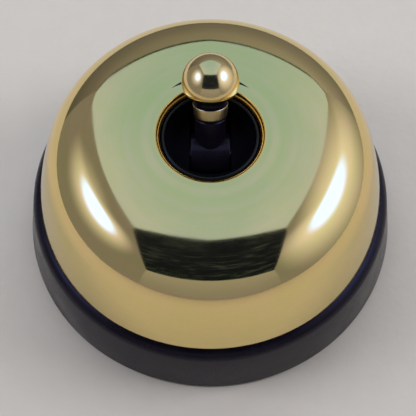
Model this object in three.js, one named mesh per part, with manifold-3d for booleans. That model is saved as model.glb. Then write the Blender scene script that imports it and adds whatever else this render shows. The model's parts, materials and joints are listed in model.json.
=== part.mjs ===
// Round surface-mounted dolly switch: a spun brass cover over a black moulded base,
// with a leaning ball-ended lever in a black-lined well and a two-way rocking contact inside.
// Millimetres, +Z up. The origin is the centre of the base's underside.
// The lever swings about an axis along X; its ball leans towards +Y at rest.

import * as THREE from 'three';
import { mergeVertices } from 'three/addons/utils/BufferGeometryUtils.js';
import Module from 'manifold-3d';

const wasm = await Module();
wasm.setup();

// ---- driving dimensions -------------------------------------------------

const GAP = 0.3;                 // space left between pieces that touch
const RUN = 0.2;                 // radial play of a pin or screw in its hole

const BASE_RADIUS = 30;          // at the foot, from where the side draws in
const BASE_TOP_RADIUS = 29;
const BASE_HEIGHT = 10.4;        // ledge that the cover's rim stands on
const BASE_SHOULDER = 2.1;       // rounding from the side to the ledge
const BASE_FLOOR = 4;            // floor of the recess that holds the works
const RECESS_RADIUS = 22;
const SPIGOT_RADIUS = 24.6;      // raised register inside the cover
const SPIGOT_TOP = 13.5;
const CABLE_HOLE_RADIUS = 5.5;
const CABLE_HOLE = [-12, -12];
const FIXING_HOLE_RADIUS = 2.2;
const FIXING_HOLES = [[-13.4, 13.4], [13.4, -13.4]];

const COVER_RIM_RADIUS = 27.7;
const COVER_WALL = 0.9;
const COVER_CROWN_RADIUS = 19.3; // where the nearly flat top turns into the shoulder
const COVER_CROWN_Z = 27.5;
const COVER_SHOULDER = 9.5;      // radius of the shoulder's arc
const CROWN_SLOPE = 16.75;       // degrees below level at the edge of the top
const SKIRT_SLOPE = 75.5;        // degrees below level where the skirt begins
const WELL_RADIUS = 8.35;        // outside of the bead round the well
const WELL_Z = 29.3;
const THROAT_RADIUS = 7.7;

const PIVOT_Z = 22.4;
const LEAN = 30;                 // degrees each side of upright
const DRUM_RADIUS = 3.5;
const DRUM_HALF_WIDTH = 3.1;
const SHAFT_RADIUS = 2.45;
const COLLAR_S = 7.1;            // pivot to the joint of black shaft and brass collar
const BALL_S = 12.93;           // pivot to the ball's centre
const COLLAR_RADIUS = 2.7;       // at its top; it narrows in a barrel curve to its foot
const COLLAR_FOOT_RADIUS = 2.1;
const BALL_RADIUS = 4.37;
const BALL_CUT = 1.6;            // the ball's underside is cut flat this far below its centre
const HOUSING_RADIUS = 2.6;      // lower tail of the lever, which holds the plunger
const HOUSING_S = 6;

const PIN_RADIUS = 1;
const CHEEK_INNER = 4.7;         // half the space between the frame's cheeks
const SHEET = 1;                 // thickness of the stamped brass parts
const FRAME_HALF_DEPTH = 3.4;
const FRAME_TOP = 24.7;
const FRAME_SCREW_X = 9.6;
const SHROUD_SCREW_X = 10.3;

const ROCKER_Z = 9.6;            // height of the rocking contact's pin
const ROCKER_TILT = 10;          // degrees each side of level
const ROCKER_REACH = 11;
const ROCKER_HALF_WIDTH = 2.5;
const WING_SLOPE = 42;           // degrees, the two faces that the plunger works on
const WING_FOOT = [1.6, 2.9];    // a point on the wing, across and above the pin
const TIP_RADIUS = 1.3;          // round end of the plunger

const TURNED = 44;               // steps round the large turned pieces
const FINE = 24;                 // steps round the small ones

// ---- materials -----------------------------------------------------------

function finish(color, roughness, metalness) {
  return new THREE.MeshStandardMaterial({ color, roughness, metalness });
}

const blackPhenolic = finish(0x17161a, 0.28, 0);
const polishedBrass = finish(0xb8975a, 0.16, 1);
const stampedBrass = finish(0xb08d4a, 0.4, 1);
const steel = finish(0x9a9b9d, 0.35, 1);
const silver = finish(0xd8d6cf, 0.3, 1);
const vulcanisedFibre = finish(0x6e3a2a, 0.8, 0);

// ---- solid tools ---------------------------------------------------------

const degrees = THREE.MathUtils.degToRad;

// A closed geometry as a solid: only positions are kept, shared corners are merged
// and triangles that a pole has folded to a line are dropped.
function solid(geometry) {
  const bare = new THREE.BufferGeometry();
  bare.setAttribute('position', geometry.getAttribute('position'));
  const count = geometry.getAttribute('position').count;
  bare.setIndex(geometry.getIndex() ?? [...Array(count).keys()]);
  const merged = mergeVertices(bare, 1e-4);
  const index = merged.getIndex().array;
  const kept = [];
  for (let i = 0; i < index.length; i += 3) {
    const [a, b, c] = [index[i], index[i + 1], index[i + 2]];
    if (a !== b && b !== c && c !== a) kept.push(a, b, c);
  }
  return new wasm.Manifold(new wasm.Mesh({
    numProp: 3,
    vertProperties: new Float32Array(merged.getAttribute('position').array),
    triVerts: new Uint32Array(kept),
  }));
}

// A ring or disc from a section [[radius, z], ...] drawn anticlockwise.
function turned(section, steps = TURNED) {
  const onAxis = section[0][0] === 0;
  const points = section.map(([r, z]) => new THREE.Vector2(r, z));
  if (!onAxis) points.push(points[0].clone());
  return solid(new THREE.LatheGeometry(points, steps).rotateX(Math.PI / 2));
}

function box(x0, x1, y0, y1, z0, z1) {
  const geometry = new THREE.BoxGeometry(x1 - x0, y1 - y0, z1 - z0);
  return solid(geometry.translate((x0 + x1) / 2, (y0 + y1) / 2, (z0 + z1) / 2));
}

function rod(radius, z0, z1, x = 0, y = 0, steps = FINE) {
  const geometry = new THREE.CylinderGeometry(radius, radius, z1 - z0, steps);
  return solid(geometry.rotateX(Math.PI / 2).translate(x, y, (z0 + z1) / 2));
}

function crossRod(radius, x0, x1, y = 0, z = 0, steps = FINE) {
  const geometry = new THREE.CylinderGeometry(radius, radius, x1 - x0, steps);
  return solid(geometry.rotateZ(Math.PI / 2).translate((x0 + x1) / 2, y, z));
}

function piece(name, shape, material, parent) {
  const { vertProperties, triVerts } = shape.getMesh();
  const geometry = new THREE.BufferGeometry();
  geometry.setAttribute('position', new THREE.BufferAttribute(vertProperties, 3));
  geometry.setIndex(new THREE.BufferAttribute(triVerts, 1));
  geometry.computeVertexNormals();
  const mesh = new THREE.Mesh(geometry, material);
  mesh.name = name;
  parent.add(mesh);
  return mesh;
}

// Points along an arc, from one angle to another in degrees.
function arc(centreR, centreZ, radius, from, to, steps) {
  return Array.from({ length: steps + 1 }, (_, i) => {
    const angle = degrees(from + ((to - from) * i) / steps);
    return [centreR + radius * Math.cos(angle), centreZ + radius * Math.sin(angle)];
  });
}

// Slotted screw with its head's underside at z = 0 and its shank below.
function screw(headRadius, headHeight, shankRadius, length) {
  const head = rod(headRadius, 0, headHeight, 0, 0, 20);
  const shank = rod(shankRadius, -length, 0.2, 0, 0, 16);
  const slot = box(-headRadius - 1, headRadius + 1, -0.2, 0.2, headHeight * 0.5, headHeight + 1);
  return head.add(shank).subtract(slot);
}

// ---- base and cover --------------------------------------------------------

const model = new THREE.Group();

function base() {
  const edge = 0.5;
  let body = turned([
    [0, 0],
    [BASE_RADIUS - edge, 0],
    [BASE_RADIUS, edge],
    ...arc(BASE_TOP_RADIUS - BASE_SHOULDER, BASE_HEIGHT - BASE_SHOULDER, BASE_SHOULDER, 0, 90, 5),
    [SPIGOT_RADIUS, BASE_HEIGHT],
    [SPIGOT_RADIUS, SPIGOT_TOP],
    [RECESS_RADIUS, SPIGOT_TOP],
    [RECESS_RADIUS, BASE_FLOOR],
    [0, BASE_FLOOR],
  ]);
  body = body.subtract(rod(CABLE_HOLE_RADIUS, -1, BASE_FLOOR + 1, ...CABLE_HOLE));
  for (const [x, y] of FIXING_HOLES) {
    body = body.subtract(rod(FIXING_HOLE_RADIUS, -1, BASE_FLOOR + 1, x, y, 20));
  }
  for (const [x, y] of [[FRAME_SCREW_X, 0], [-FRAME_SCREW_X, 0], BRACKET_SCREW]) {
    body = body.subtract(rod(1.2 + RUN, 1, BASE_FLOOR + 1, x, y, 16));
  }
  piece('base', body, blackPhenolic, model);
}

// Outer line of the cover from the rim up to the bead round the well.
function coverOutline(inset) {
  const side = CROWN_SLOPE;
  const centreR = COVER_CROWN_RADIUS - COVER_SHOULDER * Math.sin(degrees(side));
  const centreZ = COVER_CROWN_Z - COVER_SHOULDER * Math.cos(degrees(side));
  const shoulder = arc(centreR, centreZ, COVER_SHOULDER - inset, 90 - SKIRT_SLOPE, 90 - side, 6);
  const [skirtR, skirtZ] = shoulder[0];
  const rimR = COVER_RIM_RADIUS - inset;
  const bow = 0.12;
  const middle = [(rimR + skirtR) / 2 + bow, (BASE_HEIGHT + GAP + skirtZ) / 2];
  const crown = [
    [15.6, WELL_Z - 0.9 - inset],
    [12, WELL_Z - 0.33 - inset],
    [WELL_RADIUS + 1.6, WELL_Z - 0.16 - inset],
  ];
  return [[rimR, BASE_HEIGHT + GAP], middle, ...shoulder, ...crown];
}

function brassCover() {
  const bead = 0.32;
  const outside = [
    ...coverOutline(0),
    [WELL_RADIUS + 0.5, WELL_Z - 0.06],
    ...arc(WELL_RADIUS - bead, WELL_Z, bead, 30, 180, 4),
    [THROAT_RADIUS, WELL_Z - 0.3],
    [THROAT_RADIUS, WELL_Z - 1.7],
    [WELL_RADIUS, WELL_Z - 1.7],
    [WELL_RADIUS + 0.2, WELL_Z - 1.1],
  ];
  const inside = coverOutline(COVER_WALL).reverse();
  piece('brass_cover', turned([...outside, ...inside]), polishedBrass, model);
}

// Threaded ring soldered inside the rim, which screws on to the base's spigot.
function coverThreadRing() {
  const bottom = BASE_HEIGHT + GAP;
  const inner = SPIGOT_RADIUS + GAP;
  const outer = COVER_RIM_RADIUS - COVER_WALL - 0.6;
  const section = [[inner, bottom], [outer, bottom], [outer, bottom + 2], [inner, bottom + 2]];
  piece('cover_thread_ring', turned(section), stampedBrass, model);
}

// Sleeve of vulcanised fibre that keeps the wires off the metal cover.
function coverLining() {
  const bottom = SPIGOT_TOP + 0.5;
  const top = 20;
  const wall = 0.6;
  const section = [[25.1, bottom], [25.1 + wall, bottom], [24 + wall, top], [24, top]];
  piece('cover_lining', turned(section, 40), vulcanisedFibre, model);
}

// Black moulded funnel that lines the well. Its floor has a slot for the lever, and its
// flange is screwed to the frame.
function dollyShroud() {
  const flange = FRAME_TOP + GAP;
  const lip = 0.3;
  const lipZ = WELL_Z - 0.8 - lip;
  const floor = 0.7;
  const section = [
    [0, flange],
    [12.5, flange],
    [12.5, flange + 1],
    [THROAT_RADIUS - RUN, flange + 1],
    ...arc(THROAT_RADIUS - RUN - lip, lipZ, lip, 0, 180, 4),
    [5.8, flange + floor],
    [0, flange + floor],
  ];
  const slotX = DRUM_HALF_WIDTH + GAP;
  let shape = turned(section, 40).subtract(box(-slotX, slotX, -5.1, 5.1, flange - 1, flange + 1.5));
  for (const side of [-1, 1]) {
    shape = shape.subtract(rod(0.8 + RUN, flange - 1, flange + 2, side * SHROUD_SCREW_X, 0, 16));
  }
  piece('dolly_shroud', shape, blackPhenolic, model);
  for (const [name, side] of [['left', -1], ['right', 1]]) {
    const fixing = piece(`shroud_screw_${name}`, screw(1.5, 0.9, 0.8, 2.4), steel, model);
    fixing.position.set(side * SHROUD_SCREW_X, 0, flange + 1 + GAP);
    fixing.rotation.z = degrees(35);
  }
}

// ---- frame and pivot -------------------------------------------------------

// Stamped brass bridge: a top plate with a window for the lever, two cheeks folded
// down from it and a foot folded outwards from each cheek.
function mechanismFrame() {
  const foot = BASE_FLOOR + GAP;
  const outer = CHEEK_INNER + SHEET;
  const depth = FRAME_HALF_DEPTH;
  let shape = box(-13, 13, -7.4, 7.4, FRAME_TOP - SHEET, FRAME_TOP);
  shape = shape.subtract(box(-CHEEK_INNER, CHEEK_INNER, -5.2, 5.2, FRAME_TOP - 2, FRAME_TOP + 1));
  for (const side of [-1, 1]) {
    const cheek = [side * CHEEK_INNER, side * outer].sort((a, b) => a - b);
    const tread = [side * CHEEK_INNER, side * 12.5].sort((a, b) => a - b);
    shape = shape.add(box(...cheek, -depth, depth, foot, FRAME_TOP - SHEET / 2));
    shape = shape.add(box(...tread, -depth, depth, foot, foot + SHEET));
    shape = shape.subtract(rod(1.2 + RUN, foot - 1, foot + 2, side * FRAME_SCREW_X, 0, 16));
    shape = shape.subtract(
      rod(0.8 + RUN, FRAME_TOP - 2, FRAME_TOP + 1, side * SHROUD_SCREW_X, 0, 16),
    );
  }
  shape = shape.subtract(crossRod(PIN_RADIUS + RUN, -8, 8, 0, PIVOT_Z, 24));
  piece('mechanism_frame', shape, stampedBrass, model);
  for (const [name, side] of [['left', -1], ['right', 1]]) {
    const fixing = piece(`frame_screw_${name}`, screw(2.1, 1.4, 1.2, 3.6), steel, model);
    fixing.position.set(side * FRAME_SCREW_X, 0, foot + SHEET + GAP);
    fixing.rotation.z = degrees(side * 25);
  }
}

function pivot() {
  const reach = CHEEK_INNER + SHEET + 0.8;
  piece('pivot_pin', crossRod(PIN_RADIUS, -reach, reach, 0, PIVOT_Z, 24), steel, model);
  for (const [name, side] of [['left', -1], ['right', 1]]) {
    const faces = [side * (DRUM_HALF_WIDTH + GAP), side * (CHEEK_INNER - GAP)];
    const [x0, x1] = faces.sort((a, b) => a - b);
    const disc = crossRod(2.2, x0, x1, 0, PIVOT_Z, 24);
    const hole = crossRod(PIN_RADIUS + RUN, x0 - 1, x1 + 1, 0, PIVOT_Z, 24);
    piece(`pivot_washer_${name}`, disc.subtract(hole), stampedBrass, model);
  }
}

// ---- lever -----------------------------------------------------------------

// Distance from the pivot to the centre of the plunger's round end, for which the end
// rests on the lowered wing of the rocker with the usual gap.
function plungerReach() {
  const slope = degrees(WING_SLOPE);
  const tilt = degrees(ROCKER_TILT);
  const lean = degrees(LEAN);
  const [y, z] = [-WING_FOOT[0], WING_FOOT[1]];
  const footY = y * Math.cos(tilt) - z * Math.sin(tilt);
  const footZ = y * Math.sin(tilt) + z * Math.cos(tilt) + ROCKER_Z;
  const normalY = Math.sin(slope - tilt);
  const normalZ = Math.cos(slope - tilt);
  const clear = -footY * normalY + (PIVOT_Z - footZ) * normalZ - TIP_RADIUS - GAP;
  return clear / (Math.sin(lean) * normalY + Math.cos(lean) * normalZ);
}

function lever() {
  // The lever is modelled upright about its pivot, and this group leans it back.
  const dolly = new THREE.Group();
  dolly.position.z = PIVOT_Z;
  dolly.rotation.x = -degrees(LEAN);
  model.add(dolly);

  const half = GAP / 2;
  const studRadius = 0.9;
  const bore = 1.5;
  const boreTop = -(PIN_RADIUS + RUN + 1);
  let body = crossRod(DRUM_RADIUS, -DRUM_HALF_WIDTH, DRUM_HALF_WIDTH, 0, 0, 36);
  body = body.add(rod(SHAFT_RADIUS, 0, COLLAR_S - half));
  body = body.add(rod(HOUSING_RADIUS, -HOUSING_S, 0));
  body = body.subtract(rod(studRadius + RUN, 2.7, COLLAR_S + 1, 0, 0, 16));
  body = body.subtract(rod(bore, -HOUSING_S - 1, boreTop, 0, 0, 20));
  body = body.subtract(crossRod(PIN_RADIUS + RUN, -4, 4, 0, 0, 24));
  piece('dolly_lever', body, blackPhenolic, dolly);

  const neck = [
    [0, COLLAR_S + half],
    [COLLAR_FOOT_RADIUS, COLLAR_S + half],
    [COLLAR_RADIUS - 0.3, COLLAR_S + 0.4],
    [COLLAR_RADIUS - 0.15, COLLAR_S + 1],
    [COLLAR_RADIUS, COLLAR_S + 2.3],
    [COLLAR_RADIUS + 0.1, COLLAR_S + 3.2],
    [COLLAR_RADIUS + 0.6, BALL_S - BALL_CUT],
  ];
  const ballStart = -THREE.MathUtils.radToDeg(Math.asin(BALL_CUT / BALL_RADIUS));
  const ball = arc(0, BALL_S, BALL_RADIUS, ballStart, 90, 9);
  ball[ball.length - 1][0] = 0;
  let knob = turned([...neck, ...ball], 32);
  knob = knob.subtract(rod(studRadius + RUN, COLLAR_S - 1, BALL_S - 1, 0, 0, 16));
  piece('dolly_ball', knob, polishedBrass, dolly);
  piece('dolly_stud', rod(studRadius, 3, BALL_S - 1.3, 0, 0, 16), steel, dolly);

  const reach = plungerReach();
  const stem = bore - RUN;
  const plungerTop = -HOUSING_S + 1.2;
  const plunger = turned([
    ...arc(0, -reach, TIP_RADIUS, -90, 0, 5).map(([r, z], i) => [i === 0 ? 0 : r, z]),
    [stem, plungerTop],
    [0, plungerTop],
  ], 20);
  piece('plunger', plunger, stampedBrass, dolly);

  const wire = 0.22;
  const coilRadius = bore - RUN - wire - 0.1;
  const [low, high] = [plungerTop + GAP + wire, boreTop - GAP - wire];
  const turns = 3.5;
  class Coil extends THREE.Curve {
    getPoint(t, target = new THREE.Vector3()) {
      const angle = 2 * Math.PI * turns * t;
      const height = low + (high - low) * t;
      return target.set(coilRadius * Math.cos(angle), coilRadius * Math.sin(angle), height);
    }
  }
  const section = new THREE.Shape();
  section.absarc(0, 0, wire, 0, 2 * Math.PI, false);
  const coil = new THREE.ExtrudeGeometry(section, {
    steps: 42,
    curveSegments: 3,
    extrudePath: new Coil(),
  });
  piece('plunger_spring', solid(coil), steel, dolly);
}

// ---- rocking contact --------------------------------------------------------

const BRACKET_SCREW = [7.2, 7.6];

// Brass fork that carries the rocker's pin, with a strap to the common terminal.
function rockerBracket() {
  const floor = BASE_FLOOR + GAP;
  const inner = ROCKER_HALF_WIDTH + 0.5;
  const outer = inner + SHEET;
  let shape = box(-outer, outer, -2.6, 2.6, floor, floor + SHEET);
  shape = shape.add(box(-outer, outer, 2.4, 6, floor, floor + SHEET));
  shape = shape.add(box(outer - 1, 16.6, 4.2, 9.4, floor, floor + SHEET));
  for (const side of [-1, 1]) {
    const ear = [side * inner, side * outer].sort((a, b) => a - b);
    shape = shape.add(box(...ear, -2.2, 2.2, floor + SHEET / 2, ROCKER_Z + 1.7));
  }
  shape = shape.subtract(crossRod(0.8 + RUN, -6, 6, 0, ROCKER_Z, 20));
  shape = shape.subtract(rod(1.2 + RUN, floor - 1, floor + 2, ...BRACKET_SCREW, 16));
  piece('rocker_bracket', shape, stampedBrass, model);
  piece('rocker_pin', crossRod(0.8, -outer - 0.3, outer + 0.3, 0, ROCKER_Z, 20), steel, model);
  const fixing = piece('bracket_screw', screw(1.9, 1.2, 1.2, 3.6), steel, model);
  fixing.position.set(...BRACKET_SCREW, floor + SHEET + GAP);
}

function contactRocker() {
  const rocker = new THREE.Group();
  rocker.position.z = ROCKER_Z;
  rocker.rotation.x = degrees(ROCKER_TILT);
  model.add(rocker);

  const rise = Math.tan(degrees(WING_SLOPE));
  const [footY, footZ] = WING_FOOT;
  const wingY = 4.8;
  const wingZ = footZ + rise * (wingY - footY);
  const valleyZ = footZ - 0.3;
  const valleyY = footY - 0.3 / rise;
  const half = [
    [1.8, -1.6],
    [3.2, -0.7],
    [ROCKER_REACH, -0.7],
    [ROCKER_REACH, 0.3],
    [wingY + 1, 0.3],
    [wingY + 0.4, wingZ],
    [wingY, wingZ],
    [valleyY, valleyZ],
  ];
  const mirrored = half.map(([y, z]) => [-y, z]).reverse();
  const outline = new THREE.Shape([...half, ...mirrored].map(([y, z]) => new THREE.Vector2(y, z)));
  const slab = new THREE.ExtrudeGeometry(outline, {
    depth: 2 * ROCKER_HALF_WIDTH,
    bevelEnabled: false,
  });
  // The outline is drawn in Y and Z, and its thickness runs along X.
  slab.applyMatrix4(new THREE.Matrix4().makeBasis(
    new THREE.Vector3(0, 1, 0),
    new THREE.Vector3(0, 0, 1),
    new THREE.Vector3(1, 0, 0),
  ));
  slab.translate(-ROCKER_HALF_WIDTH, 0, 0);
  const hole = crossRod(0.8 + RUN, -4, 4, 0, 0, 20);
  piece('contact_rocker', solid(slab).subtract(hole), stampedBrass, rocker);
  for (const [name, side] of [['front', -1], ['rear', 1]]) {
    const tip = rod(1.1, -0.7 - GAP - 0.5, -0.7 - GAP, 0, side * (ROCKER_REACH - 1.2), 18);
    piece(`${name}_moving_contact`, tip, silver, rocker);
  }
}

// ---- terminals ----------------------------------------------------------------

// Brass block with a cross hole for the wire and a clamping screw from above. It is
// built with its tongue pointing towards the middle of the switch, along +Y.
function terminal(name, turn, position, tongue) {
  const group = new THREE.Group();
  group.position.set(...position, BASE_FLOOR + GAP);
  group.rotation.z = degrees(turn);
  model.add(group);
  const height = 6;
  let block = box(-3.2, 3.2, -3, 3, 0, height);
  if (tongue > 0) block = block.add(box(-2, 2, 2, 3 + tongue, 0, SHEET));
  const wire = crossRod(1.5, -4, 4, 0, 2.9, 20);
  const tapped = rod(1 + RUN, 2.5, height + 1, 0, 0, 16);
  block = block.subtract(wire).subtract(tapped);
  piece(`${name}_terminal`, block, stampedBrass, group);
  const clamp = piece(`${name}_terminal_screw`, screw(1.7, 1.3, 1, 2.2), steel, group);
  clamp.position.z = height + GAP;
  clamp.rotation.z = degrees(60);
  if (tongue > 0) {
    const button = rod(1.3, SHEET + GAP, SHEET + GAP + 0.4, 0, 3 + tongue - 1.4, 18);
    piece(`${name}_fixed_contact`, button, silver, group);
  }
}

base();
brassCover();
coverThreadRing();
coverLining();
dollyShroud();
mechanismFrame();
pivot();
lever();
rockerBracket();
contactRocker();
terminal('front', 0, [0, -15.6], 4.4);
terminal('rear', 180, [0, 15.6], 4.4);
terminal('common', 0, [16.6, 0.6], 0);

export default model;
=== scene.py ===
import bpy, json, math
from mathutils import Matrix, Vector


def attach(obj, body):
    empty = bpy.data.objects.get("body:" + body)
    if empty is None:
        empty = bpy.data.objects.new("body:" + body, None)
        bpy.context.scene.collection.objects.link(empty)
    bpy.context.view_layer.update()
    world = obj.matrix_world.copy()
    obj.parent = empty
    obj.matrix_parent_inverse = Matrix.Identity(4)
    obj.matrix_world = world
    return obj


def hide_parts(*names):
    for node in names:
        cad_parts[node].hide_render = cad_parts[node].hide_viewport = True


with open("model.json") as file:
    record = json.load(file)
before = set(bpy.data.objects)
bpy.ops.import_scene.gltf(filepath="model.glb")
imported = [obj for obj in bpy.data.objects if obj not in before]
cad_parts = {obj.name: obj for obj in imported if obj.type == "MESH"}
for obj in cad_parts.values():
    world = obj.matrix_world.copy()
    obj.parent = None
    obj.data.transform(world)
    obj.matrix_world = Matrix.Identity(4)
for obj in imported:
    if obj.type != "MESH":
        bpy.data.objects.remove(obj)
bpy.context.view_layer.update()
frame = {"nodes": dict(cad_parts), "record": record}

mm = 0.001

# ---- Camera ---------------------------------------------------------------------------
# A long-focus lens a quarter of a metre from the switch, looking steeply down on its front
# with the lever leaning away at the top of the view.
look_at = Vector((-0.36, 2.0, 0.0)) * mm
camera_reach = 240 * mm
camera_rise = math.radians(63.5)
camera_data = bpy.data.cameras.new("camera")
camera_data.sensor_width = 36
camera_data.lens = 122.0
camera_data.clip_start = 10 * mm
camera_data.clip_end = 50
camera = bpy.data.objects.new("camera", camera_data)
bpy.context.collection.objects.link(camera)
camera.location = look_at + camera_reach * Vector((0, -math.cos(camera_rise), math.sin(camera_rise)))
camera.rotation_euler = (math.pi / 2 - camera_rise, 0, 0)
bpy.context.scene.camera = camera
bpy.context.scene.view_settings.view_transform = "Standard"

# ---- Base -----------------------------------------------------------------------------
# Thick disc of black phenolic, pressed in a polished mould. A raised register inside the
# ledge carries the cover's thread, and the works sit in the recess within it.
base_radius = 30 * mm
base_top_radius = 29 * mm
base_height = 10.4 * mm
base_shoulder = 2.1 * mm
recess_radius = 22 * mm
recess_floor = 4 * mm
register_radius = 24.6 * mm
register_top = 13.5 * mm
register_corner = 0.3 * mm
foot_corner = 0.5 * mm
cable_hole_radius = 5.5 * mm
cable_hole_reach = 12 * mm
fixing_hole_radius = 2.2 * mm
fixing_hole_reach = 13.4 * mm


def arc(centre_r, centre_z, radius, start, end, steps):
    """Points (radius, height) along an arc, between two angles in degrees."""
    angles = [math.radians(start + (end - start) * i / steps) for i in range(steps + 1)]
    return [(centre_r + radius * math.cos(a), centre_z + radius * math.sin(a)) for a in angles]


def spun(name, outline, steps, closed=False):
    """Draws an outline of (radius, height) points and spins it about the upright axis."""
    bpy.ops.object.select_all(action="DESELECT")
    bpy.ops.mesh.primitive_plane_add(size=mm)
    piece = bpy.context.object
    piece.name = piece.data.name = name
    bpy.ops.object.mode_set(mode="EDIT")
    bpy.ops.mesh.select_all(action="SELECT")
    bpy.ops.mesh.merge(type="CENTER")
    bpy.ops.mesh.select_all(action="SELECT")
    bpy.ops.transform.translate(value=(outline[0][0], 0, outline[0][1]))
    route = outline + [outline[0]] if closed else outline
    for (r0, z0), (r1, z1) in zip(route, route[1:]):
        step = {"value": (r1 - r0, 0, z1 - z0)}
        bpy.ops.mesh.extrude_vertices_move(TRANSFORM_OT_translate=step)
    bpy.ops.mesh.select_all(action="SELECT")
    bpy.ops.mesh.spin(steps=steps, angle=2 * math.pi, center=(0, 0, 0), axis=(0, 0, 1))
    bpy.ops.mesh.select_all(action="SELECT")
    bpy.ops.mesh.remove_doubles(threshold=0.002 * mm)
    bpy.ops.mesh.normals_make_consistent(inside=False)
    bpy.ops.object.mode_set(mode="OBJECT")
    bpy.ops.object.shade_smooth_by_angle(angle=math.radians(32))
    return piece


def finish_with(piece, kind, **settings):
    """Adds a modifier to a piece and applies it."""
    bpy.ops.object.select_all(action="DESELECT")
    bpy.context.view_layer.objects.active = piece
    piece.select_set(True)
    modifier = piece.modifiers.new(kind.lower(), kind)
    for key, value in settings.items():
        setattr(modifier, key, value)
    bpy.ops.object.modifier_apply(modifier=modifier.name)


def cut_away(piece, cutter):
    """Takes the cutter's shape out of a piece and throws the cutter away."""
    finish_with(piece, "BOOLEAN", object=cutter, operation="DIFFERENCE", solver="EXACT")
    bpy.data.objects.remove(cutter)


def drill(piece, radius, x, y, low, high):
    """A round hole straight down through a piece."""
    bpy.ops.object.select_all(action="DESELECT")
    bpy.ops.mesh.primitive_cylinder_add(
        vertices=64, radius=radius, depth=high - low, location=(x, y, (low + high) / 2)
    )
    cut_away(piece, bpy.context.object)


base_outline = [
    (0, 0),
    *arc(base_radius - foot_corner, foot_corner, foot_corner, -90, 0, 5),
    *arc(base_top_radius - base_shoulder, base_height - base_shoulder, base_shoulder, 6, 90, 14),
    (register_radius, base_height),
    *arc(register_radius - register_corner, register_top - register_corner, register_corner, 0, 90, 3),
    *arc(recess_radius + register_corner, register_top - register_corner, register_corner, 90, 180, 3),
    (recess_radius, recess_floor),
    (0, recess_floor),
]
base = spun("base_moulding", base_outline, 256)
drill(base, cable_hole_radius, -cable_hole_reach, -cable_hole_reach, -mm, recess_floor + mm)
for side in (-1, 1):
    across_x = side * fixing_hole_reach
    drill(base, fixing_hole_radius, across_x, -across_x, -mm, recess_floor + mm)
bpy.ops.object.shade_smooth_by_angle(angle=math.radians(32))


def srgb(code):
    """A hex colour, as printed, turned to the linear values that shaders take."""
    parts = [int(code[i:i + 2], 16) / 255 for i in (1, 3, 5)]
    linear = [c / 12.92 if c <= 0.04045 else ((c + 0.055) / 1.055) ** 2.4 for c in parts]
    return (*linear, 1)


def add(tree, kind, settings=(), links=()):
    """Adds a node, sets its values by name or socket, and links its inputs."""
    node = tree.nodes.new(kind)
    for key, value in dict(settings).items():
        if isinstance(key, str) and hasattr(node, key):
            setattr(node, key, value)
        else:
            node.inputs[key].default_value = value
    for key, source in dict(links).items():
        tree.links.new(source, node.inputs[key])
    return node


def new_material(name):
    """An empty node material, with its output and the Object coordinates to read."""
    material = bpy.data.materials.new(name)
    material.use_nodes = True
    tree = material.node_tree
    tree.nodes.clear()
    output = tree.nodes.new("ShaderNodeOutputMaterial")
    place = tree.nodes.new("ShaderNodeTexCoord").outputs["Object"]
    return material, tree, output, place


# Phenolic straight from the mould: near black with a violet cast, a satin gloss that
# handling has made a little uneven, and the faint orange-peel of the mould's polish.
def black_phenolic():
    material, tree, output, place = new_material("black_phenolic_moulded")
    peel = add(tree, "ShaderNodeTexNoise", {"Scale": 1 / (0.9 * mm), "Detail": 3.0}, {"Vector": place})
    haze = add(tree, "ShaderNodeTexNoise", {"Scale": 1 / (6 * mm), "Detail": 4.0}, {"Vector": place})
    gloss = add(tree, "ShaderNodeMapRange", {"From Min": 0.3, "From Max": 0.7, "To Min": 0.2,
                "To Max": 0.32}, {"Value": haze.outputs["Fac"]})
    tint = add(tree, "ShaderNodeMapRange", {"From Min": 0.3, "From Max": 0.7},
               {"Value": haze.outputs["Fac"]})
    colour = add(tree, "ShaderNodeMix", {"data_type": "RGBA"}, {0: tint.outputs[0]})
    colour.inputs[6].default_value = srgb("#0f0c15")
    colour.inputs[7].default_value = srgb("#19151f")
    bump = add(tree, "ShaderNodeBump", {"Strength": 0.3, "Distance": 0.008 * mm},
               {"Height": peel.outputs["Fac"]})
    shader = add(tree, "ShaderNodeBsdfPrincipled", {"IOR": 1.31, "Specular Tint": srgb("#e9e0ff")},
                 {"Base Color": colour.outputs[2], "Roughness": gloss.outputs[0],
                  "Normal": bump.outputs[0]})
    tree.links.new(shader.outputs[0], output.inputs["Surface"])
    return material


phenolic = black_phenolic()


def settle(piece, material, body, slot, *nodes):
    """Gives a finished piece its material, the body it moves with and the nodes it stands for."""
    piece.data.materials.clear()
    piece.data.materials.append(material)
    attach(piece, body)
    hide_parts(*nodes)


settle(base, phenolic, "switch_body", "black_phenolic", "base")

# ---- Works under the cover ------------------------------------------------------------
# Stamped brass frame, rocker and terminals, plated steel screws and pins, silver contacts
# and a sleeve of vulcanised fibre. They keep the frame's own shapes, and get their finish.


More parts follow.
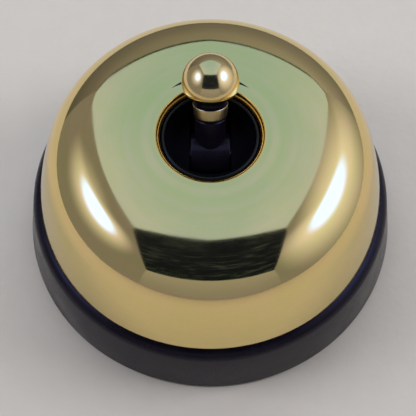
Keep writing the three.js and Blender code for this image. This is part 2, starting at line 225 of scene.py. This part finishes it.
# Brass strip as it leaves the press: satin, with rolling lines along it and a light tarnish.
def stamped_brass():
    material, tree, output, place = new_material("brass_strip_stamped")
    stretch = add(tree, "ShaderNodeMapping", {"Scale": (1 / (0.15 * mm), 1 / (4 * mm), 1 / (0.15 * mm))},
                  {"Vector": place})
    lines = add(tree, "ShaderNodeTexNoise", {"Scale": 1.0, "Detail": 3.0}, {"Vector": stretch.outputs[0]})
    tarnish = add(tree, "ShaderNodeTexNoise", {"Scale": 1 / (3 * mm), "Detail": 4.0}, {"Vector": place})
    colour = add(tree, "ShaderNodeMix", {"data_type": "RGBA"}, {0: tarnish.outputs["Fac"]})
    colour.inputs[6].default_value = srgb("#cfa75c")
    colour.inputs[7].default_value = srgb("#a07a3c")
    rough = add(tree, "ShaderNodeMapRange", {"To Min": 0.28, "To Max": 0.5},
                {"Value": lines.outputs["Fac"]})
    bump = add(tree, "ShaderNodeBump", {"Strength": 0.3, "Distance": 0.01 * mm},
               {"Height": lines.outputs["Fac"]})
    shader = add(tree, "ShaderNodeBsdfPrincipled", {"Metallic": 1.0},
                 {"Base Color": colour.outputs[2], "Roughness": rough.outputs[0],
                  "Normal": bump.outputs[0]})
    tree.links.new(shader.outputs[0], output.inputs["Surface"])
    return material


# Turned steel with a thin zinc plate: grey, satin, with fine tool rings.
def plated_steel():
    material, tree, output, place = new_material("steel_zinc_plated")
    grain = add(tree, "ShaderNodeTexNoise", {"Scale": 1 / (0.25 * mm), "Detail": 3.0}, {"Vector": place})
    colour = add(tree, "ShaderNodeMix", {"data_type": "RGBA"}, {0: grain.outputs["Fac"]})
    colour.inputs[6].default_value = srgb("#b9bcc0")
    colour.inputs[7].default_value = srgb("#8b8d92")
    rough = add(tree, "ShaderNodeMapRange", {"To Min": 0.22, "To Max": 0.42},
                {"Value": grain.outputs["Fac"]})
    shader = add(tree, "ShaderNodeBsdfPrincipled", {"Metallic": 1.0},
                 {"Base Color": colour.outputs[2], "Roughness": rough.outputs[0]})
    tree.links.new(shader.outputs[0], output.inputs["Surface"])
    return material


# Fine silver rivets, burnished by the contacts closing on them, with a grey bloom.
def contact_silver():
    material, tree, output, place = new_material("silver_contact")
    bloom = add(tree, "ShaderNodeTexNoise", {"Scale": 1 / (0.8 * mm), "Detail": 3.0}, {"Vector": place})
    colour = add(tree, "ShaderNodeMix", {"data_type": "RGBA"}, {0: bloom.outputs["Fac"]})
    colour.inputs[6].default_value = srgb("#f0eee8")
    colour.inputs[7].default_value = srgb("#a9a59c")
    shader = add(tree, "ShaderNodeBsdfPrincipled", {"Metallic": 1.0, "Roughness": 0.3},
                 {"Base Color": colour.outputs[2]})
    tree.links.new(shader.outputs[0], output.inputs["Surface"])
    return material


# Vulcanised fibre: matt red-brown sheet with short hairs of cotton pressed into it.
def vulcanised_fibre():
    material, tree, output, place = new_material("vulcanised_fibre_sheet")
    hairs = add(tree, "ShaderNodeTexNoise", {"Scale": 1 / (0.3 * mm), "Detail": 5.0}, {"Vector": place})
    colour = add(tree, "ShaderNodeMix", {"data_type": "RGBA"}, {0: hairs.outputs["Fac"]})
    colour.inputs[6].default_value = srgb("#5a2c20")
    colour.inputs[7].default_value = srgb("#7d4231")
    bump = add(tree, "ShaderNodeBump", {"Strength": 0.4, "Distance": 0.03 * mm},
               {"Height": hairs.outputs["Fac"]})
    shader = add(tree, "ShaderNodeBsdfPrincipled", {"Roughness": 0.75},
                 {"Base Color": colour.outputs[2], "Normal": bump.outputs[0]})
    tree.links.new(shader.outputs[0], output.inputs["Surface"])
    return material


work_finishes = {
    "stamped_brass": stamped_brass(),
    "steel": plated_steel(),
    "silver": contact_silver(),
    "vulcanised_fibre": vulcanised_fibre(),
}
for part in frame["record"]["subparts"]:
    if part["material_slot"] in work_finishes:
        works = frame["nodes"][part["node"]]
        works.data.materials.clear()
        works.data.materials.append(work_finishes[part["material_slot"]])

# ---- Cover ----------------------------------------------------------------------------
# Dome of sheet brass, spun over a former and polished. The top is almost flat, a round
# shoulder turns it into a slightly bowed skirt, and the well's edge is rolled to a lip.
rim_radius = 27.7 * mm
rim_height = 10.6 * mm
wall = 0.9 * mm
crown_radius = 19.3 * mm
crown_height = 27.52 * mm
shoulder_radius = 9.5 * mm
crown_slope = 16.75
skirt_slope = 75.5
skirt_foot_slope = 83.5
well_radius = 8.5 * mm
throat_radius = 7.6 * mm
throat_depth = 1.7 * mm
lip_radius = 1.05 * mm
lip_start = 107
land_edge = 9.9 * mm
step_radius = 9.95 * mm
land_slope = 1.5
step_slope = 5.2
step_width = 0.8 * mm


def crown_fall(radius):
    """Slope of the top in degrees: a flat land round the well, a low step at its edge and a
    gentle fall beyond it."""
    beyond = max(0, radius - land_edge) / (crown_radius - land_edge)
    fall = land_slope + (crown_slope - land_slope) * beyond
    step = step_slope * math.exp(-(((radius - step_radius) / step_width) ** 2))
    return fall + step


def cover_outline():
    """Outside of the dome: up the skirt from the rim, over the shoulder and in to the lip."""
    tilt = math.radians(crown_slope)
    shoulder = arc(
        crown_radius - shoulder_radius * math.sin(tilt),
        crown_height - shoulder_radius * math.cos(tilt),
        shoulder_radius, 90 - skirt_slope, 90 - crown_slope, 36,
    )
    skirt_r, skirt_z = shoulder[0]
    rise = skirt_z - rim_height
    run = rim_radius - skirt_r
    steep = rise / math.tan(math.radians(skirt_foot_slope))
    skirt = []
    for i in range(1, 24):
        t = i / 24
        # a parabola that leaves the rim at the foot's slope and reaches the shoulder's foot
        skirt.append((rim_radius - steep * t - (run - steep) * t * t, rim_height + rise * t))
    crown = []
    radius, height = shoulder[-1]
    steps = 120
    for i in range(1, steps + 1):
        inner = well_radius + (crown_radius - well_radius) * (1 - i / steps) ** 1.5
        fall = crown_fall((radius + inner) / 2)
        height += (radius - inner) * math.tan(math.radians(fall))
        radius = inner
        crown.append((radius, height))
    return skirt, shoulder, crown


skirt, shoulder, crown = cover_outline()
top = crown[-1][1]
lip = arc(throat_radius + lip_radius, top + 0.05 * mm - lip_radius * math.sin(math.radians(lip_start)),
          lip_radius, lip_start, 180, 24)
hem = arc(rim_radius - 0.12 * mm, rim_height + 0.12 * mm, 0.12 * mm, -90, -5, 4)
outside = hem + skirt + shoulder + crown + lip
inside = [
    (throat_radius, top - throat_depth + 0.1 * mm),
    (throat_radius + 0.1 * mm, top - throat_depth),
    (well_radius + 0.3 * mm, top - throat_depth),
    (well_radius + 0.8 * mm, top - 1.1 * mm),
    (crown_radius - 0.3 * mm, crown_height - wall),
    *reversed(arc(
        crown_radius - shoulder_radius * math.sin(math.radians(crown_slope)),
        crown_height - shoulder_radius * math.cos(math.radians(crown_slope)),
        shoulder_radius - wall, 90 - skirt_slope, 90 - crown_slope, 10,
    )),
    (rim_radius - wall, rim_height + 0.1 * mm),
]
cover = spun("brass_dome", outside + inside, 256, closed=True)


# Polished spun brass: a mirror with a yellow cast. The spinning tool leaves faint rings
# round the axis, and the buffing mop leaves hairlines and a haze in places. A dark band is
# painted into the step behind the ball, as a painted reflection of the dark well in the brass.
def polished_brass():
    material, tree, output, place = new_material("brass_spun_polished")
    parts = add(tree, "ShaderNodeSeparateXYZ", {}, {0: place})
    flat = add(tree, "ShaderNodeCombineXYZ", {}, {"X": parts.outputs["X"], "Y": parts.outputs["Y"]})
    out = add(tree, "ShaderNodeVectorMath", {"operation": "LENGTH"}, {0: flat.outputs[0]})
    ring_place = add(tree, "ShaderNodeCombineXYZ", {},
                     {"X": out.outputs["Value"], "Y": parts.outputs["Z"]})
    rings = add(tree, "ShaderNodeTexNoise", {"Scale": 1 / (1.1 * mm), "Detail": 3.0},
                {"Vector": ring_place.outputs[0]})
    haze = add(tree, "ShaderNodeTexNoise", {"Scale": 1 / (7 * mm), "Detail": 5.0, "Roughness": 0.6},
               {"Vector": place})
    rough = add(tree, "ShaderNodeMapRange", {"From Min": 0.35, "From Max": 0.75, "To Min": 0.045,
                "To Max": 0.09}, {"Value": haze.outputs["Fac"]})
    mixed = add(tree, "ShaderNodeMath", {"operation": "MULTIPLY"},
                {0: haze.outputs["Fac"], 1: rings.outputs["Fac"]})
    bloom = add(tree, "ShaderNodeMapRange", {"From Min": 0.14, "From Max": 0.36},
                {"Value": mixed.outputs[0]})
    tint = add(tree, "ShaderNodeMix", {"data_type": "RGBA"}, {0: bloom.outputs[0]})
    tint.inputs[6].default_value = srgb("#e9d58c")
    tint.inputs[7].default_value = srgb("#f2d596")
    # painted reflection: the colour turns dark in the step behind the ball, standing for the dark well
    # mirrored there
    aside = add(tree, "ShaderNodeMath", {"operation": "ABSOLUTE"}, {0: parts.outputs["X"]})
    width = add(tree, "ShaderNodeMapRange", {"From Min": 4.4 * mm, "From Max": 6.3 * mm,
                "To Min": 0.24 * mm, "To Max": -0.05 * mm}, {"Value": aside.outputs[0]})
    off_step = add(tree, "ShaderNodeMath", {"operation": "COMPARE", 1: step_radius + 0.1 * mm},
                   {0: out.outputs["Value"], 2: width.outputs[0]})
    behind = add(tree, "ShaderNodeMath", {"operation": "GREATER_THAN", 1: 5 * mm}, {0: parts.outputs["Y"]})
    painted_reflection_mask = add(tree, "ShaderNodeMath", {"operation": "MULTIPLY"},
                  {0: off_step.outputs[0], 1: behind.outputs[0]})
    colour = add(tree, "ShaderNodeMix", {"data_type": "RGBA"},
                 {0: painted_reflection_mask.outputs[0], 6: tint.outputs[2]})
    colour.inputs[7].default_value = srgb("#34352c")
    bump = add(tree, "ShaderNodeBump", {"Strength": 0.5, "Distance": 0.0016 * mm},
               {"Height": rings.outputs["Fac"]})
    shader = add(tree, "ShaderNodeBsdfPrincipled", {"Metallic": 1.0},
                 {"Base Color": colour.outputs[2], "Roughness": rough.outputs[0],
                  "Normal": bump.outputs[0]})
    tree.links.new(shader.outputs[0], output.inputs["Surface"])
    return material


# The rolled lip round the well, which the mop rounds off and lacquer pools on: deeper gold.
def lip_brass():
    material, tree, output, place = new_material("brass_lip_lacquered")
    grain = add(tree, "ShaderNodeTexNoise", {"Scale": 1 / (1.2 * mm), "Detail": 4.0}, {"Vector": place})
    rough = add(tree, "ShaderNodeMapRange", {"To Min": 0.1, "To Max": 0.2},
                {"Value": grain.outputs["Fac"]})
    shader = add(tree, "ShaderNodeBsdfPrincipled",
                 {"Metallic": 1.0, "Base Color": srgb("#fbcf78")}, {"Roughness": rough.outputs[0]})
    tree.links.new(shader.outputs[0], output.inputs["Surface"])
    return material


settle(cover, polished_brass(), "switch_body", "polished_brass", "brass_cover")
cover.data.materials.append(lip_brass())
for face in cover.data.polygons:
    if math.hypot(face.center.x, face.center.y) < well_radius and face.center.z > top - throat_depth:
        face.material_index = 1

# ---- Shroud ---------------------------------------------------------------------------
# Black moulded funnel that lines the well so that no brass comes near the works. Its floor
# has a slot for the lever, and two screws hold its flange to the frame.
shroud_lip = 28.5 * mm
shroud_foot = 25.0 * mm
shroud_flange_radius = 12.5 * mm
shroud_radius = 7.5 * mm
shroud_screw_reach = 10.3 * mm
slot_size = (6.4 * mm, 10.2 * mm, 4 * mm)
shroud_outline = [
    (0, shroud_foot),
    (shroud_flange_radius, shroud_foot),
    (shroud_flange_radius, shroud_foot + mm),
    (shroud_radius, shroud_foot + mm),
    *arc(shroud_radius - 0.3 * mm, shroud_lip - 0.3 * mm, 0.3 * mm, 0, 180, 10),
    (5.3 * mm, shroud_foot + 1.0 * mm),
    (4.9 * mm, shroud_foot + 0.75 * mm),
    (4.4 * mm, shroud_foot + 0.7 * mm),
    (0, shroud_foot + 0.7 * mm),
]
shroud = spun("well_shroud", shroud_outline, 192)
bpy.ops.object.select_all(action="DESELECT")
bpy.ops.mesh.primitive_cube_add(size=1, location=(0, 0, shroud_foot))
slot = bpy.context.object
slot.scale = slot_size
bpy.ops.object.transform_apply(location=True, rotation=False, scale=True)
cut_away(shroud, slot)
for side in (-1, 1):
    drill(shroud, mm, side * shroud_screw_reach, 0, shroud_foot - mm, shroud_foot + 2 * mm)
bpy.ops.object.shade_smooth_by_angle(angle=math.radians(32))


# The same phenolic from a plain mould: glossy at the lip, dull down inside the well.
def well_phenolic():
    material, tree, output, place = new_material("black_phenolic_dull")
    parts = add(tree, "ShaderNodeSeparateXYZ", {}, {0: place})
    grain = add(tree, "ShaderNodeTexNoise", {"Scale": 1 / (0.3 * mm), "Detail": 3.0}, {"Vector": place})
    dull = add(tree, "ShaderNodeMapRange", {"From Min": shroud_foot + 2.2 * mm,
               "From Max": shroud_lip - 0.3 * mm, "To Min": 0.62, "To Max": 0.25},
               {"Value": parts.outputs["Z"]})
    bump = add(tree, "ShaderNodeBump", {"Strength": 0.4, "Distance": 0.01 * mm},
               {"Height": grain.outputs["Fac"]})
    sheen = add(tree, "ShaderNodeMapRange", {"From Min": shroud_foot + 2.2 * mm,
                "From Max": shroud_lip - 0.3 * mm, "To Min": 1.12, "To Max": 1.4},
                {"Value": parts.outputs["Z"]})
    shader = add(tree, "ShaderNodeBsdfPrincipled", {"Base Color": srgb("#050508")},
                 {"Roughness": dull.outputs[0], "IOR": sheen.outputs[0], "Normal": bump.outputs[0]})
    tree.links.new(shader.outputs[0], output.inputs["Surface"])
    return material


settle(shroud, well_phenolic(), "switch_body", "black_phenolic", "dolly_shroud")

# ---- Lever ----------------------------------------------------------------------------
# One black moulding: a flat-ended drum that turns on the pivot pin, a round shaft above it
# and the plunger's housing below. A seam runs round the drum where the mould parted.
joints = {joint["name"]: joint for joint in frame["record"]["behaviour"]["joints"]}
pivot = Vector(joints["dolly_tilt"]["pos_m"])
lean = math.radians(30)
drum_radius = 3.5 * mm
drum_width = 6.2 * mm
plunger_bore_radius = 1.5 * mm
shaft_radius = 2.45 * mm
pin_radius = 1 * mm
stud_radius = 0.9 * mm
running_gap = 0.2 * mm
collar_foot = 7.1 * mm


def lean_back(piece):
    """Turns a piece modelled upright about the pivot to the lever's rest, in its mesh."""
    bpy.ops.object.select_all(action="DESELECT")
    bpy.context.view_layer.objects.active = piece
    piece.select_set(True)
    piece.location = pivot
    piece.rotation_euler = (-lean, 0, 0)
    bpy.ops.object.transform_apply(location=True, rotation=True, scale=True)


def weld_on(piece, other):
    """Joins another solid to a piece as one skin."""
    finish_with(piece, "BOOLEAN", object=other, operation="UNION", solver="EXACT")
    bpy.data.objects.remove(other)


def cross_disc(radius, width, vertices=128):
    """A disc on edge, with its axis along the pivot."""
    bpy.ops.object.select_all(action="DESELECT")
    bpy.ops.mesh.primitive_cylinder_add(
        vertices=vertices, radius=radius, depth=width, rotation=(0, math.pi / 2, 0)
    )
    bpy.ops.object.transform_apply(location=True, rotation=True, scale=True)
    return bpy.context.object


lever = cross_disc(drum_radius, drum_width)
lever.name = lever.data.name = "lever_moulding"
finish_with(lever, "BEVEL", width=0.22 * mm, segments=3, limit_method="ANGLE")
weld_on(lever, cross_disc(drum_radius + 0.04 * mm, 0.14 * mm))
shaft_outline = [
    (0, -5.7 * mm),
    (1.5 * mm, -5.7 * mm),
    (1.5 * mm, -6 * mm),
    *arc(2.4 * mm, -5.8 * mm, 0.2 * mm, -90, 0, 3),
    (2.6 * mm, 0),
    (shaft_radius, 0.5 * mm),
    (shaft_radius, collar_foot - 0.25 * mm),
    (shaft_radius - 0.12 * mm, collar_foot - 0.1 * mm),
    (0, collar_foot - 0.1 * mm),
]
weld_on(lever, spun("shaft", shaft_outline, 96))
# bores for the pivot pin, the plunger below it and the stud that carries the ball
cut_away(lever, cross_disc(pin_radius + running_gap, drum_width + 1.8 * mm, 96))
drill(lever, plunger_bore_radius, 0, 0, -7 * mm, -(pin_radius + running_gap + mm))
drill(lever, stud_radius + running_gap, 0, 0, 2.7 * mm, collar_foot + mm)
bpy.ops.object.shade_smooth_by_angle(angle=math.radians(32))
lean_back(lever)
settle(lever, phenolic, "dolly", "black_phenolic", "dolly_lever")

# ---- Ball and collar ------------------------------------------------------------------
# Turned brass knob on the shaft's stud: a ball with a flat underside, a waisted neck and a
# collar that butts against the black shaft. The ball is polished and the collar left satin.
ball_centre = 12.93 * mm
ball_radius = 4.37 * mm
ball_cut = 1.6 * mm
collar_radius = 2.7 * mm
cut_angle = math.degrees(math.asin(ball_cut / ball_radius))
cut_radius = ball_radius * math.cos(math.radians(cut_angle))
collar_top = collar_foot + 2.2 * mm
neck_top = ball_centre - ball_cut
knob_outline = [
    (0, collar_foot + 0.02 * mm),
    (2.0 * mm, collar_foot + 0.02 * mm),
    *arc(2.1 * mm, collar_foot + 0.52 * mm, 0.5 * mm, -84, 0, 8),
    (collar_radius, collar_top - 0.05 * mm),
    (collar_radius - 0.04 * mm, collar_top),
    (2.3 * mm, collar_top + 0.1 * mm),
    (2.3 * mm, collar_top + 0.9 * mm),
    (2.6 * mm, collar_top + 1.5 * mm),
    (3.3 * mm, neck_top),
    *arc(cut_radius - 0.2 * mm, ball_centre - ball_cut + 0.2 * mm, 0.2 * mm, -90, -25, 4),
    *arc(0, ball_centre, ball_radius, 3 - cut_angle, 90, 40)[:-1],
    (0, ball_centre + ball_radius),
]
knob = spun("ball_knob", knob_outline, 160)
drill(knob, stud_radius + running_gap, 0, 0, collar_foot - mm, ball_centre - mm)
bpy.ops.object.shade_smooth_by_angle(angle=math.radians(32))


# Turned brass, polished and lacquered: a mirror a little softer and warmer than the cover.
def turned_brass():
    material, tree, output, place = new_material("brass_turned_lacquered")
    grain = add(tree, "ShaderNodeTexNoise", {"Scale": 1 / (1.5 * mm), "Detail": 4.0}, {"Vector": place})
    rough = add(tree, "ShaderNodeMapRange", {"To Min": 0.1, "To Max": 0.17},
                {"Value": grain.outputs["Fac"]})
    shader = add(tree, "ShaderNodeBsdfPrincipled",
                 {"Metallic": 1.0, "Base Color": srgb("#f4d898")}, {"Roughness": rough.outputs[0]})
    tree.links.new(shader.outputs[0], output.inputs["Surface"])
    return material


# The same brass on the collar, which the mop does not reach: left satin from the tool.
def satin_brass():
    material, tree, output, place = new_material("brass_turned_satin")
    grain = add(tree, "ShaderNodeTexNoise", {"Scale": 1 / (0.2 * mm), "Detail": 3.0}, {"Vector": place})
    rough = add(tree, "ShaderNodeMapRange", {"To Min": 0.26, "To Max": 0.34},
                {"Value": grain.outputs["Fac"]})
    shader = add(tree, "ShaderNodeBsdfPrincipled",
                 {"Metallic": 1.0, "Base Color": srgb("#fbe3a6")}, {"Roughness": rough.outputs[0]})
    tree.links.new(shader.outputs[0], output.inputs["Surface"])
    return material


# The neck between them takes the black phenolic as painted shade, so that it drops out of sight under the
# ball.
settle(knob, turned_brass(), "dolly", "polished_brass", "dolly_ball")
knob.data.materials.append(satin_brass())
knob.data.materials.append(phenolic)
for face in knob.data.polygons:
    height = face.center.z
    if height < collar_top:
        face.material_index = 1
    # painted shade: the neck's faces get the black phenolic
    elif height < neck_top - 0.01 * mm:
        face.material_index = 2
lean_back(knob)

# ---- Stage ----------------------------------------------------------------------------
# Pale paper to stand on, and a small light tent that only reflections see: cool sloping
# roof behind, dark front where the camera looks in, and lamps glowing through both sides.
tent_half = 165 * mm
tent_front = -222 * mm
tent_back = 230 * mm
tent_height = 430 * mm
ridge = ((-8 * mm, 422 * mm), (-28 * mm, 385 * mm))
back_eave = ((222 * mm, 180 * mm), (225 * mm, 145 * mm))
front_eave = ((tent_front, 155 * mm), (tent_front, 155 * mm))
ground = ((tent_front, 0), (tent_front, 0))


def across(line):
    """A line from wall to wall, given as (y, z) at the walls and (y, z) in the middle."""
    (side_y, side_z), (middle_y, middle_z) = line
    return [(-tent_half, side_y, side_z), (0, middle_y, middle_z), (tent_half, side_y, side_z)]


def card(name, low_edge, high_edge, material):
    """A sheet of the tent between two edges of three points each, seen only in reflections."""
    bpy.ops.object.select_all(action="DESELECT")
    bpy.ops.mesh.primitive_grid_add(x_subdivisions=2, y_subdivisions=1, size=1)
    sheet = bpy.context.object
    sheet.name = sheet.data.name = name
    for vertex, corner in zip(sheet.data.vertices, [*low_edge, *high_edge]):
        vertex.co = corner
    sheet.data.materials.append(material)
    sheet.visible_camera = False
    sheet.visible_diffuse = False
    sheet.visible_shadow = False
    sheet.visible_transmission = False
    sheet.visible_volume_scatter = False


def glow(name, colour, strength):
    """A plain shining cloth."""
    material, tree, output, place = new_material(name)
    shine = add(tree, "ShaderNodeEmission", {"Color": colour, "Strength": strength})
    tree.links.new(shine.outputs[0], output.inputs["Surface"])
    return material


def roof_cloth():
    """Cool cloth, a little brighter towards the ridge and towards the lamps at the sides."""
    material, tree, output, place = new_material("roof_cloth")
    parts = add(tree, "ShaderNodeSeparateXYZ", {}, {0: place})
    aside = add(tree, "ShaderNodeMath", {"operation": "ABSOLUTE"}, {0: parts.outputs["X"]})
    share = add(tree, "ShaderNodeMapRange", {"From Min": 40 * mm, "From Max": tent_half},
                {"Value": aside.outputs[0]})
    near = add(tree, "ShaderNodeMapRange", {"From Min": 150 * mm, "From Max": 30 * mm, "To Max": 0.45},
               {"Value": parts.outputs["Y"]})
    cloud = add(tree, "ShaderNodeTexNoise", {"Scale": 1 / (70 * mm), "Detail": 2.0}, {"Vector": place})
    wander = add(tree, "ShaderNodeMath", {"operation": "MULTIPLY_ADD", 1: 0.7, 2: -0.35},
                 {0: cloud.outputs["Fac"]})
    some = add(tree, "ShaderNodeMath", {"operation": "ADD"},
               {0: share.outputs[0], 1: near.outputs[0]})
    both = add(tree, "ShaderNodeMath", {"operation": "ADD", "use_clamp": True},
               {0: some.outputs[0], 1: wander.outputs[0]})
    colour = add(tree, "ShaderNodeMix", {"data_type": "RGBA"}, {0: both.outputs[0]})
    colour.inputs[6].default_value = (0.365, 0.585, 0.80, 1)
    colour.inputs[7].default_value = (0.51, 0.66, 0.93, 1)
    shine = add(tree, "ShaderNodeEmission", {"Strength": 1.0}, {"Color": colour.outputs[2]})
    tree.links.new(shine.outputs[0], output.inputs["Surface"])
    return material


def opening_cloth():
    """The dark room beyond the tent's open front, with faint shelves of things in it."""
    material, tree, output, place = new_material("dark_room")
    stretch = add(tree, "ShaderNodeMapping", {"Scale": (1 / (60 * mm), 1 / (14 * mm), 1 / (14 * mm))},
                  {"Vector": place})
    things = add(tree, "ShaderNodeTexNoise", {"Scale": 1.0, "Detail": 5.0, "Roughness": 0.7},
                 {"Vector": stretch.outputs[0]})
    shown = add(tree, "ShaderNodeMapRange", {"From Min": 0.52, "From Max": 0.8},
                {"Value": things.outputs["Fac"]})
    colour = add(tree, "ShaderNodeMix", {"data_type": "RGBA"}, {0: shown.outputs[0]})
    colour.inputs[6].default_value = (0.008, 0.011, 0.022, 1)
    colour.inputs[7].default_value = (0.085, 0.12, 0.15, 1)
    shine = add(tree, "ShaderNodeEmission", {"Strength": 1.0}, {"Color": colour.outputs[2]})
    tree.links.new(shine.outputs[0], output.inputs["Surface"])
    return material


def lamp_cloth(name, centre, core, reach, plain):
    """Cloth with a round lamp behind it: a cool white core, a glow round it, plain cloth beyond."""
    material, tree, output, place = new_material(name)
    far = add(tree, "ShaderNodeVectorMath", {"operation": "DISTANCE", 1: centre}, {0: place})
    near = add(tree, "ShaderNodeMapRange", {"interpolation_type": "SMOOTHERSTEP", "From Min": 0.45 * core,
               "From Max": core, "To Min": 1.0, "To Max": 0.0}, {"Value": far.outputs["Value"]})
    halo = add(tree, "ShaderNodeMapRange", {"interpolation_type": "SMOOTHSTEP", "From Min": 0.35 * core,
               "From Max": reach, "To Min": 0.74, "To Max": 0.0}, {"Value": far.outputs["Value"]})
    level = add(tree, "ShaderNodeMath", {"operation": "ADD", 1: plain}, {0: halo.outputs[0]})
    cloth = add(tree, "ShaderNodeVectorMath", {"operation": "SCALE", 0: (1.0, 1.03, 1.2)},
                {"Scale": level.outputs[0]})
    colour = add(tree, "ShaderNodeMix", {"data_type": "RGBA", "clamp_result": False},
                 {0: near.outputs[0], 6: cloth.outputs[0]})
    colour.inputs[7].default_value = (1.08, 1.7, 4.4, 1)
    shine = add(tree, "ShaderNodeEmission", {"Strength": 1.0}, {"Color": colour.outputs[2]})
    tree.links.new(shine.outputs[0], output.inputs["Surface"])
    return material


def wall_cloth(name, low, high, lean=0.0):
    """The tent's own cloth, lit more at the top than at the foot and, by lean, at the right."""
    material, tree, output, place = new_material(name)
    parts = add(tree, "ShaderNodeSeparateXYZ", {}, {0: place})
    level = add(tree, "ShaderNodeMapRange", {"From Max": 150 * mm, "To Min": low, "To Max": high},
                {"Value": parts.outputs["Z"]})
    right = add(tree, "ShaderNodeMapRange", {"From Min": -tent_half, "From Max": tent_half,
                "To Min": 1.0 - lean, "To Max": 1.0 + lean}, {"Value": parts.outputs["X"]})
    both = add(tree, "ShaderNodeMath", {"operation": "MULTIPLY"},
               {0: level.outputs[0], 1: right.outputs[0]})
    shine = add(tree, "ShaderNodeEmission", {"Color": (1.0, 1.03, 1.2, 1)},
                {"Strength": both.outputs[0]})
    tree.links.new(shine.outputs[0], output.inputs["Surface"])
    return material


seam = 5 * mm
roof = roof_cloth()
seam_cloth = glow("seam_cloth", (0.03, 0.04, 0.05, 1), 1.0)
card("roof_back", across(ridge), across(back_eave), roof)
card("roof_front", across(ridge), across(front_eave), opening_cloth())
back_seam = [(x, y + mm, z - 14 * mm) for x, y, z in across(back_eave)]
card("roof_seam", across(back_eave), back_seam, seam_cloth)
back_foot = [(x, 120 * mm, 0) for x, y, z in across(back_eave)]
card("wall_back", back_foot, [(x, y + 4 * mm, z) for x, y, z in across(back_eave)],
     wall_cloth("back_cloth", 0.15, 0.27, 0.35))
card("wall_front", across(ground), across(front_eave), wall_cloth("front_cloth", 0.25, 0.35))
for side, lamp_place, core, reach, plain in (
    (-1, (-tent_half, -8 * mm, 184 * mm), 74 * mm, 140 * mm, 0.23),
    (1, (tent_half, 10 * mm, 170 * mm), 88 * mm, 225 * mm, 0.24),
):
    x = side * tent_half
    low = [(x, y, 0) for y in (tent_front, 0, tent_back)]
    card(f"wall_side_{side}", low, [(x, y, tent_height) for x, y, z in low],
         lamp_cloth(f"lamp_cloth_{side}", lamp_place, core, reach, plain))
    inner = x - side * mm
    for name, end in (("back", back_eave[0]), ("front", front_eave[0])):
        start = ridge[0]
        halfway = ((start[0] + end[0]) / 2, (start[1] + end[1]) / 2)
        run = [(inner, *start), (inner, *halfway), (inner, *end)]
        edge = [(x - side * seam, y, z - 0.5 * mm) for x, y, z in run]
        card(f"seam_{name}_{side}", run, edge, seam_cloth)


# Uncoated paper: warm pale grey with a soft mottle from its fibres.
def floor_paper():
    material, tree, output, place = new_material("paper_uncoated")
    cloud = add(tree, "ShaderNodeTexNoise", {"Scale": 1 / (4 * mm), "Detail": 4.0}, {"Vector": place})
    colour = add(tree, "ShaderNodeMix", {"data_type": "RGBA"}, {0: cloud.outputs["Fac"]})
    colour.inputs[6].default_value = srgb("#dcd8d4")
    colour.inputs[7].default_value = srgb("#e3dfda")
    fibre = add(tree, "ShaderNodeTexNoise", {"Scale": 1 / (1.4 * mm), "Detail": 3.0}, {"Vector": place})
    bump = add(tree, "ShaderNodeBump", {"Strength": 0.5, "Distance": 0.12 * mm},
               {"Height": fibre.outputs["Fac"]})
    shader = add(tree, "ShaderNodeBsdfPrincipled", {"Roughness": 0.9},
                 {"Base Color": colour.outputs[2], "Normal": bump.outputs[0]})
    tree.links.new(shader.outputs[0], output.inputs["Surface"])
    return material


bpy.ops.object.select_all(action="DESELECT")
bpy.ops.mesh.primitive_plane_add(size=4, location=(0, 0, -0.02 * mm))
floor = bpy.context.object
floor.name = floor.data.name = "paper_floor"
floor.data.materials.append(floor_paper())

world = bpy.data.worlds.new("room")
bpy.context.scene.world = world
world.use_nodes = True
world.node_tree.nodes["Background"].inputs["Color"].default_value = srgb("#f0f0f2")
world.node_tree.nodes["Background"].inputs["Strength"].default_value = 0.13


def lamp(name, place, power, size, colour):
    """A soft square lamp aimed at the switch, left out of reflections, which see the tent."""
    data = bpy.data.lights.new(name, "AREA")
    data.energy = power
    data.size = size
    data.color = colour
    light = bpy.data.objects.new(name, data)
    bpy.context.collection.objects.link(light)
    light.location = place
    light.rotation_euler = (-Vector(place)).to_track_quat("-Z", "Y").to_euler()
    light.visible_glossy = False


lamp("lamp_left", (-0.34, 0.0, 0.3), 0.6, 0.2, (1.0, 0.97, 0.96))
lamp("lamp_right", (0.34, 0.04, 0.3), 0.68, 0.2, (1.0, 0.95, 0.91))
lamp("roof_light", (0.0, 0.16, 0.34), 0.54, 0.34, (0.94, 0.97, 1.0))
